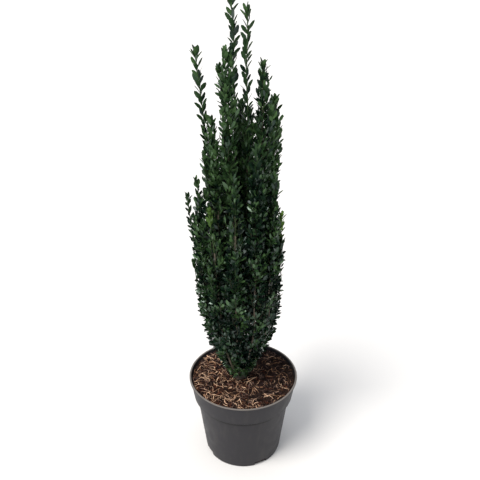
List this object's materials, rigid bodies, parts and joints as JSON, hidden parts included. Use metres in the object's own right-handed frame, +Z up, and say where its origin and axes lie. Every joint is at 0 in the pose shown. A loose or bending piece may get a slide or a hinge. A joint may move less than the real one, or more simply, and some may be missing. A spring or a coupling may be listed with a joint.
{
  "type": "potted japanese holly",
  "caption": "Upright columnar evergreen shrub with small dark leaves on many steep shoots, in a round tapered nursery pot filled with growing medium.",
  "frame": {"origin": "centre of the pot's flat underside, on the surface that the pot stands on", "axes": "+Z up along the pot's axis and the shoots; -Y is the side that the picture was taken from, so +X is the picture's right"},
  "size_m": [0.23, 0.23, 0.9452],
  "materials": {
    "pot_plastic": "satin dark grey polypropylene",
    "bark_mulch": "loose moist shredded bark and fibre",
    "holly_bark": "smooth grey-brown bark",
    "holly_leaves": "small dark green leaves with a soft gloss"
  },
  "bodies": {
    "root": {"pot": "pot_plastic", "growing_medium": "bark_mulch", "trunk": "holly_bark", "limb_tallest": "holly_bark", "limb_second": "holly_bark", "limb_far_left": "holly_bark", "limb_left_tuft": "holly_bark", "limb_left_plume": "holly_bark", "limb_rear_middle": "holly_bark", "limb_right_plume": "holly_bark", "limb_right_upper": "holly_bark", "limb_left_outer": "holly_bark", "limb_left_low": "holly_bark", "limb_front_left": "holly_bark", "limb_front": "holly_bark", "limb_front_right": "holly_bark", "limb_right_front": "holly_bark", "limb_right_low": "holly_bark", "limb_right_rear": "holly_bark", "limb_rear_right": "holly_bark", "limb_rear": "holly_bark", "limb_rear_left": "holly_bark", "limb_left_rear": "holly_bark", "foliage_tallest": "holly_leaves", "foliage_second": "holly_leaves", "foliage_far_left": "holly_leaves", "foliage_left_tuft": "holly_leaves", "foliage_left_plume": "holly_leaves", "foliage_rear_middle": "holly_leaves", "foliage_right_plume": "holly_leaves", "foliage_right_upper": "holly_leaves", "foliage_left_outer": "holly_leaves", "foliage_left_low": "holly_leaves", "foliage_front_left": "holly_leaves", "foliage_front": "holly_leaves", "foliage_front_right": "holly_leaves", "foliage_right_front": "holly_leaves", "foliage_right_low": "holly_leaves", "foliage_right_rear": "holly_leaves", "foliage_rear_right": "holly_leaves", "foliage_rear": "holly_leaves", "foliage_rear_left": "holly_leaves", "foliage_left_rear": "holly_leaves"}
  },
  "joints": []
}
